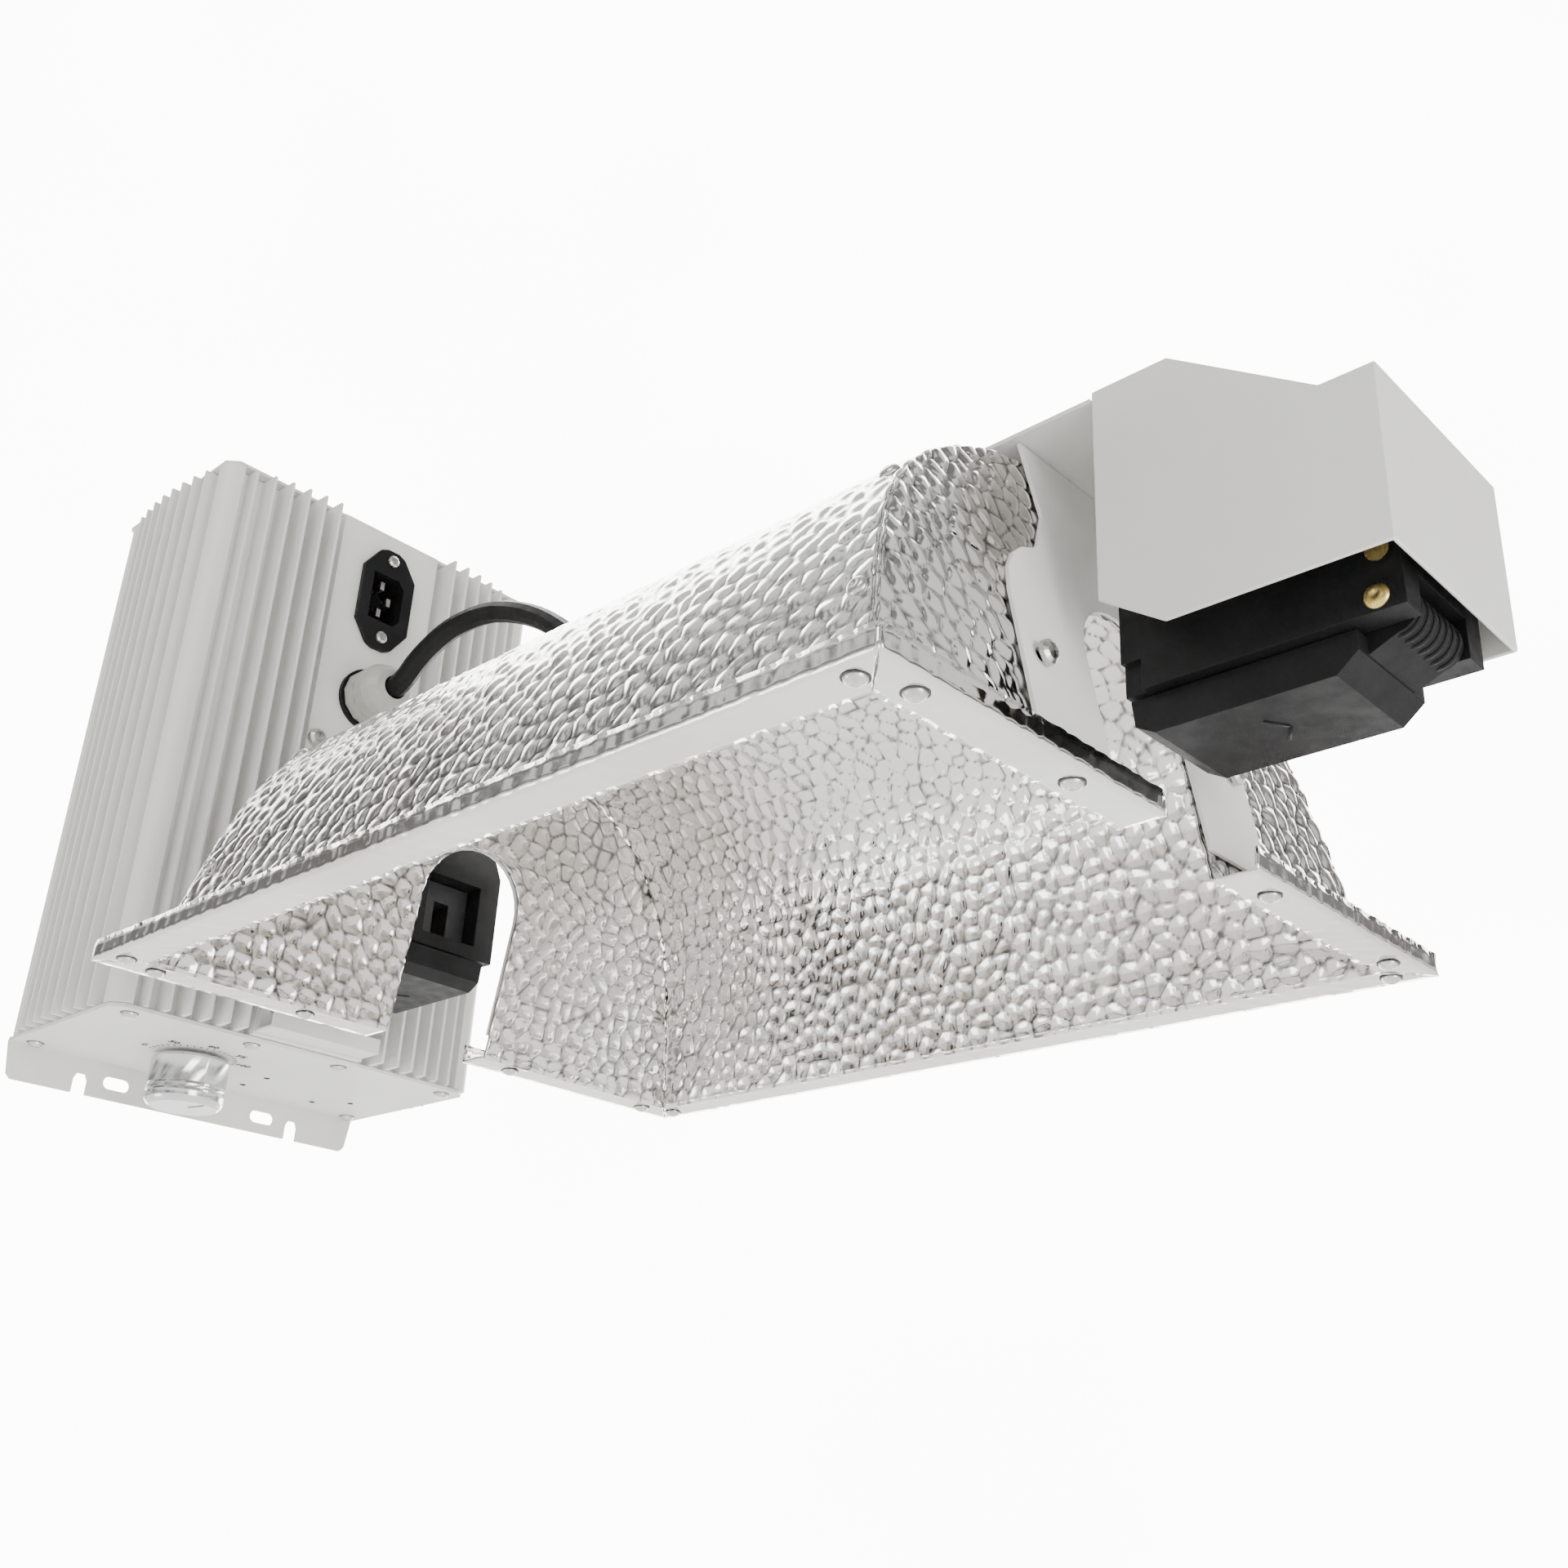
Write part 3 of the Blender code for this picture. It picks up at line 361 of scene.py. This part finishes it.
def end(name, s, seed, node):
    rows, flat = [], []
    for i in range(nlip):
        z = LIP * (1 - i / nlip)
        rows.append((RX, z, RY - 0.4, AR))
        flat.append(0.4)
    for i in range(nfl):
        d = 13.7 * (1 - i / nfl)
        rows.append((WX + d, 0.0, WY + d - 0.3, AR))
        flat.append(1)
    zt = AZ + AR
    for y, z in wall:
        a = AR if z <= AZ else (math.sqrt(max(AR * AR - (z - AZ) ** 2, 0)) if z < zt else 0.0)
        rows.append((WX - SL * z, z, y + 0.6, a))
        flat.append(0)
    # extra rows round the arch's crown keep it round
    ex = []
    for i in range(1, 14):
        z = AZ + AR * math.sin(math.pi / 2 * i / 13)
        ex.append(z)
    wr = [(r, f) for r, f in zip(rows, flat)]
    ys = np.interp(ex, wall[:, 1], wall[:, 0])
    for z, y in zip(ex, ys):
        a = math.sqrt(max(AR * AR - (z - AZ) ** 2, 0))
        wr.append(((WX - SL * z, z, y + 0.6, a), 0))
    head = [w for w in wr if w[1] > 0.2]
    body = sorted([w for w in wr if w[1] == 0], key=lambda w: w[0][1])
    keep = [body[0]]
    for w in body[1:]:
        if w[0][1] - keep[-1][0][1] > 0.12:
            keep.append(w)
    wr = head + keep
    rows = np.array([w[0] for w in wr])
    flat = np.array([w[1] for w in wr])
    arc = np.concatenate([[0], np.cumsum(np.hypot(np.diff(rows[:, 0]), np.diff(rows[:, 1])))])
    grids = []
    nt = int(WY / STEP)
    t = np.linspace(0, 1, nt)
    for sg in (-1, 1):
        P = np.zeros((len(rows), nt, 3))
        y = rows[:, 3:4] + (rows[:, 2:3] - rows[:, 3:4]) * t
        P[:, :, 0] = s * rows[:, 0:1]
        P[:, :, 1] = sg * y
        P[:, :, 2] = rows[:, 1:2]
        H = pebbles(P[:, :, 1], np.repeat(arc[:, None], nt, 1), seed)
        k = np.where(flat > 0.5, AMPF, AMP)
        H = np.clip((H - 0.6) * k[:, None], -0.55, 0.4)
        H[flat > 0.5] = np.clip(H[flat > 0.5] + 0.08, 0, 0.3)
        lip = (flat > 0.2) & (flat < 0.5)
        H[lip] = np.clip(0.12 - H[lip] * 0.8, 0.0, 0.5)
        grids.append((P, H, flat))
    sheet(name, grids, "x", [node])


end("reflector_end_hood_hammered", 1, 31, "reflector_end_hood")
end("reflector_end_ballast_hammered", -1, 47, "reflector_end_ballast")


# ------------------------------------------------------------------ rivets and small detail
def dome(name, at, normal, r, h, slot="steel", body="frame", socketed=True):
    """Round head with a flat rim and a small dimple, on a surface at `at` (mm)."""
    prof = [(0, h * 0.78), (r * 0.22, h * 0.80), (r * 0.30, h), (r * 0.55, h * 0.96), (r * 0.82, h * 0.66), (r * 0.96, h * 0.28), (r, 0.0), (r, -0.6)]
    bm = bmesh.new()
    n = 24
    rings = []
    for rr, zz in prof[1:]:
        rings.append([bm.verts.new((rr * math.cos(2 * math.pi * i / n), rr * math.sin(2 * math.pi * i / n), zz)) for i in range(n)])
    c = bm.verts.new((0, 0, prof[0][1]))
    for i in range(n):
        bm.faces.new([c, rings[0][i], rings[0][(i + 1) % n]])
    for a, b in zip(rings, rings[1:]):
        for i in range(n):
            bm.faces.new([a[i], b[i], b[(i + 1) % n], a[(i + 1) % n]])
    bm.faces.new(list(reversed(rings[-1])))
    q = Vector(normal).to_track_quat("Z", "Y").to_matrix().to_4x4()
    bmesh.ops.transform(bm, matrix=Matrix.Scale(MM, 4) @ Matrix.Translation(Vector(at)) @ q, verts=bm.verts)
    return from_bm(bm, name, slot, body)


# painted shade: a thin dark disc laid on the surface, standing in for shade round the rim rivet heads and at six
# points of the bottom plate
def shade_disc(name, at, normal, r):
    bm = bmesh.new()
    bmesh.ops.create_cone(bm, cap_ends=True, segments=28, radius1=r, radius2=r, depth=0.16)
    q = Vector(normal).to_track_quat("Z", "Y").to_matrix().to_4x4()
    bmesh.ops.transform(bm, matrix=Matrix.Scale(MM, 4) @ Matrix.Translation(Vector(at)) @ q, verts=bm.verts)
    return from_bm(bm, name, "steel", "frame", "print", False)


k = 0
for sx in (-1, 1):
    for sy in (-1, 1):
        for x, y in ((158.0, 122.5), (163.3, 109.5), (163.3, 40.0 if sy > 0 else 52.0)):
            k += 1
            dome("rim_rivet_%d" % k, (sx * x, sy * y, -0.1), (0, 0, -1), 2.9, 1.6)
            # painted shade disc round the rivet head
            shade_disc("rim_shade_disc_%d" % k, (sx * x, sy * y, -0.06), (0, 0, -1), 3.4)
        for z in (34.0, 80.0):
            yy = float(np.interp(z, wall[:, 1], wall[:, 0]))
            a = float(np.interp(z + 1, wall[:, 1], wall[:, 0]))
            nrm = Vector((0, 1.0, (yy - a))).normalized()
            x = WX - SL * z - 5.5
            k += 1
            dome("wall_rivet_out_%d" % k, (sx * x, sy * (yy + 0.9 * nrm.y), z + 0.9 * nrm.z), (0, sy * nrm.y, nrm.z), 3.0, 1.4)
            dome("wall_rivet_in_%d" % k, (sx * x, sy * (yy - 0.2 * nrm.y), z - 0.2 * nrm.z), (0, -sy * nrm.y, -nrm.z), 2.6, 0.9)
        k += 1
        z = 41.0
        dome("leg_rivet_in_%d" % k, (sx * (WX - SL * z - 0.1), sy * 45.6, z), (-sx * 1.0, 0, -0.2), 3.0, 1.0)


def text(name, s, at, size, rot):
    c = bpy.data.curves.new(name, "FONT")
    c.body = s
    c.size = size * MM
    c.extrude = 0.00008
    c.offset = 0.00010
    c.align_x = "CENTER"
    c.align_y = "CENTER"
    o = bpy.data.objects.new(name, c)
    bpy.context.scene.collection.objects.link(o)
    o.matrix_world = Matrix.Translation(Vector(at) * MM) @ rot
    bpy.context.view_layer.update()
    me = bpy.data.meshes.new_from_object(o.evaluated_get(bpy.context.evaluated_depsgraph_get()))
    me.transform(o.matrix_world)
    bpy.data.objects.remove(o, do_unlink=True)
    return add(me, name, "black_plastic", "frame", "print")


DOWN = Matrix(((0, 1, 0, 0), (1, 0, 0, 0), (0, 0, -1, 0), (0, 0, 0, 1)))
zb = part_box("ballast_bottom_plate")
zpl = 10.92
kx, ky = -295.8, -25.0
for i, s in enumerate(("0", "50", "60", "75", "100")):
    a = math.radians(-130 + 42 * i + 40)
    text("dial_mark_%d" % i, s, (kx + 21.5 * math.cos(a), ky + 21.5 * math.sin(a), zpl), 4.6, DOWN)
for i in range(21):
    a = math.radians(-98 + 9 * i)
    bm = bmesh.new()
    bmesh.ops.create_cube(bm, size=1.0)
    bmesh.ops.transform(bm, matrix=Matrix.Scale(MM, 4) @ Matrix.Translation((kx, ky, 10.93)) @ Matrix.Rotation(a, 4, "Z") @ Matrix.Translation((17.4, 0, 0)) @ Matrix.Diagonal((1.6, 0.45, 0.16, 1)), verts=bm.verts)
    from_bm(bm, "dial_tick_%d" % i, "black_plastic", "frame", "print", False)
# knob: turned skirt with two grooves near its foot, and a pointer line
bm = bmesh.new()
n = 96
prof = [(13.9, 8.75), (15.1, 8.55), (15.75, 7.9), (15.75, -2.6), (15.3, -2.9), (15.3, -3.5), (15.75, -3.8), (15.75, -5.2), (15.3, -5.5), (15.3, -6.1), (15.75, -6.4),
        (15.75, -8.2), (15.45, -9.2), (14.9, -9.9), (13.9, -10.0)]
rings = [[bm.verts.new((r * math.cos(2 * math.pi * i / n), r * math.sin(2 * math.pi * i / n), z)) for i in range(n)] for r, z in prof]
for p, q in zip(rings, rings[1:] + rings[:1]):
    for i in range(n):
        j = (i + 1) % n
        bm.faces.new([p[i], p[j], q[j], q[i]])
bmesh.ops.transform(bm, matrix=Matrix.Scale(MM, 4) @ Matrix.Translation((kx, ky, 0)), verts=bm.verts)
skirt = from_bm(bm, "knob_skirt", "knob_aluminium", "knob")
sm = skirt.modifiers.new("wn", "WEIGHTED_NORMAL")
sm.keep_sharp = True
es = skirt.modifiers.new("es", "EDGE_SPLIT")
es.split_angle = math.radians(35)
baked(skirt)
bm = bmesh.new()
bmesh.ops.create_cube(bm, size=1.0)
bmesh.ops.transform(bm, matrix=Matrix.Scale(MM, 4) @ Matrix.Translation((kx + 7.6, ky + 2.0, -11.05)) @ Matrix.Rotation(0.26, 4, "Z") @ Matrix.Diagonal((9.0, 0.7, 0.16, 1)), verts=bm.verts)
from_bm(bm, "knob_pointer", "black_plastic", "knob", "print", False)
# painted shade discs on the bottom plate
for i, (x, y) in enumerate(((-334.0, -75.0), (-257.0, -73.0), (-257.0, -20.0), (-257.0, 21.0), (-257.0, 74.0), (-334.0, 76.0))):
    shade_disc("plate_shade_disc_%d" % i, (x, y, 10.94), (0, 0, -1), 3.5)
# small holes of the bottom plate, drawn as dark plugs just proud of it: painted shade for the dark inside of each hole
for i, (x, y) in enumerate(((-322.0, 14.0), (-302.0, 14.0), (-323.0, 50.0), (-310.0, 62.0))):
    dome("plate_hole_shade_%d" % i, (x, y, 11.0), (0, 0, -1), 1.4, 0.25, "black_plastic")

for tag, s in (("hood", 1), ("ballast", -1)):
    for sg in (-1, 1):
        dome("pin_head_%s_%s" % (tag, "near" if sg < 0 else "far"), (s * 227.0, sg * 21.0, 41.0), (0, sg, 0), 3.3, 1.3, "brass")

# chevron on each lower cap
for tag, s in (("hood", 1), ("ballast", -1)):
    for j, sg in enumerate((-1, 1)):
        bm = bmesh.new()
        bmesh.ops.create_cube(bm, size=1.0)
        bmesh.ops.bevel(bm, geom=bm.edges[:], offset=0.08, segments=2, affect="EDGES")
        bmesh.ops.transform(bm, matrix=Matrix.Scale(MM, 4) @ Matrix.Translation((s * (158 + 33.0), sg * 3.4, 25.95)) @ Matrix.Rotation(s * sg * 0.55, 4, "Z") @ Matrix.Diagonal((1.0, 7.4, 0.5, 1)), verts=bm.verts)
        from_bm(bm, "chevron_%s_%d" % (tag, j), "black_plastic", "cap_" + tag)
    for j in range(7):
        bm = bmesh.new()
        n = 28
        y0 = -11.2 + 3.4 * j
        pr = [(5.9, y0), (6.45, y0 + 0.3), (6.45, y0 + 1.3), (5.9, y0 + 1.6)]
        rg = [[bm.verts.new((r * math.cos(2 * math.pi * i / n), y, r * math.sin(2 * math.pi * i / n))) for i in range(n)] for r, y in pr]
        for a, b in zip(rg, rg[1:] + rg[:1]):
            for i in range(n):
                bm.faces.new([a[i], a[(i + 1) % n], b[(i + 1) % n], b[i]])
        bmesh.ops.transform(bm, matrix=Matrix.Scale(MM, 4) @ Matrix.Translation((s * 227.0, 0, 41.0)), verts=bm.verts)
        from_bm(bm, "barrel_rib_%s_%d" % (tag, j), "black_plastic", "cap_" + tag)

# ------------------------------------------------------------------ stage
bm = bmesh.new()
bmesh.ops.create_grid(bm, x_segments=2, y_segments=2, size=6.0)
bmesh.ops.translate(bm, vec=(0, 0, -0.62), verts=bm.verts)
me = bpy.data.meshes.new("floor")
bm.to_mesh(me)
bm.free()
fl = bpy.data.objects.new("floor", me)
bpy.context.scene.collection.objects.link(fl)
fl.data.materials.append(surface("floor_m", (0.56, 0.56, 0.56), (0.60, 0.60, 0.60), 0, 0.7, 0.8, 3, 200, 0.02, 0.001))

w = bpy.data.worlds.new("studio")
bpy.context.scene.world = w
w.use_nodes = True
wt = w.node_tree
bg = wt.nodes["Background"]
VIEW = (-0.649, 0.650, 0.411)
tc = wt.nodes.new("ShaderNodeTexCoord")
nz = wt.nodes.new("ShaderNodeVectorMath")
nz.operation = "NORMALIZE"
wt.links.new(tc.outputs["Generated"], nz.inputs[0])
dt = wt.nodes.new("ShaderNodeVectorMath")
dt.operation = "DOT_PRODUCT"
dt.inputs[1].default_value = VIEW
wt.links.new(nz.outputs[0], dt.inputs[0])
cone = wt.nodes.new("ShaderNodeMapRange")
cone.interpolation_type = "SMOOTHSTEP"
cone.inputs["From Min"].default_value = 0.63
cone.inputs["From Max"].default_value = 0.84
cone.inputs["To Min"].default_value = 0.0
cone.inputs["To Max"].default_value = BACK = 12.0
wt.links.new(dt.outputs["Value"], cone.inputs["Value"])
cl = wt.nodes.new("ShaderNodeTexNoise")
cl.inputs["Scale"].default_value = 3.4
cl.inputs["Detail"].default_value = 2.5
wt.links.new(nz.outputs[0], cl.inputs["Vector"])
amb = wt.nodes.new("ShaderNodeMapRange")
amb.interpolation_type = "SMOOTHSTEP"
amb.inputs["From Min"].default_value = 0.40
amb.inputs["From Max"].default_value = 0.60
amb.inputs["To Min"].default_value = 0.24
amb.inputs["To Max"].default_value = 1.05
wt.links.new(cl.outputs["Fac"], amb.inputs["Value"])
sm = wt.nodes.new("ShaderNodeMath")
sm.operation = "ADD"
wt.links.new(cone.outputs[0], sm.inputs[0])
wt.links.new(amb.outputs[0], sm.inputs[1])
wt.links.new(sm.outputs[0], bg.inputs["Strength"])
bg.inputs["Color"].default_value = (1.0, 0.995, 0.985, 1)


def area(name, loc, target, size, energy, col=(1, 1, 1)):
    l = bpy.data.lights.new(name, "AREA")
    l.shape = "RECTANGLE"
    l.size, l.size_y = size
    l.energy = energy
    l.color = col
    o = bpy.data.objects.new(name, l)
    bpy.context.scene.collection.objects.link(o)
    o.location = loc
    o.rotation_euler = (Vector(target) - Vector(loc)).to_track_quat("-Z", "Y").to_euler()
    return o


area("key", (0.5, -1.2, 0.9), (0, 0, 0.1), (0.6, 0.6), 6)
area("under", (-0.7, -0.9, -0.5), (-0.3, 0, 0.05), (0.4, 0.4), 2.0)
area("front", (1.05, -0.15, -0.08), (0.05, 0, 0.05), (0.5, 0.5), 6.0)

cam = bpy.data.cameras.new("cam")
co = bpy.data.objects.new("cam", cam)
bpy.context.scene.collection.objects.link(co)
bpy.context.scene.camera = co
AZI, ELE, ROLL = 0.778, 0.423, 0.052
F = Vector((-math.sin(AZI) * math.cos(ELE), math.cos(AZI) * math.cos(ELE), math.sin(ELE)))
R = Vector((math.cos(AZI), math.sin(AZI), 0))
U = R.cross(F)
R2 = R * math.cos(ROLL) + U * math.sin(ROLL)
U2 = -R * math.sin(ROLL) + U * math.cos(ROLL)
M = Matrix(((R2.x, U2.x, -F.x, 0.3685), (R2.y, U2.y, -F.y, -0.3557), (R2.z, U2.z, -F.z, -0.1663), (0, 0, 0, 1)))
co.matrix_world = M
cam.sensor_width = 36
cam.lens = 39.15
cam.clip_start = 0.01
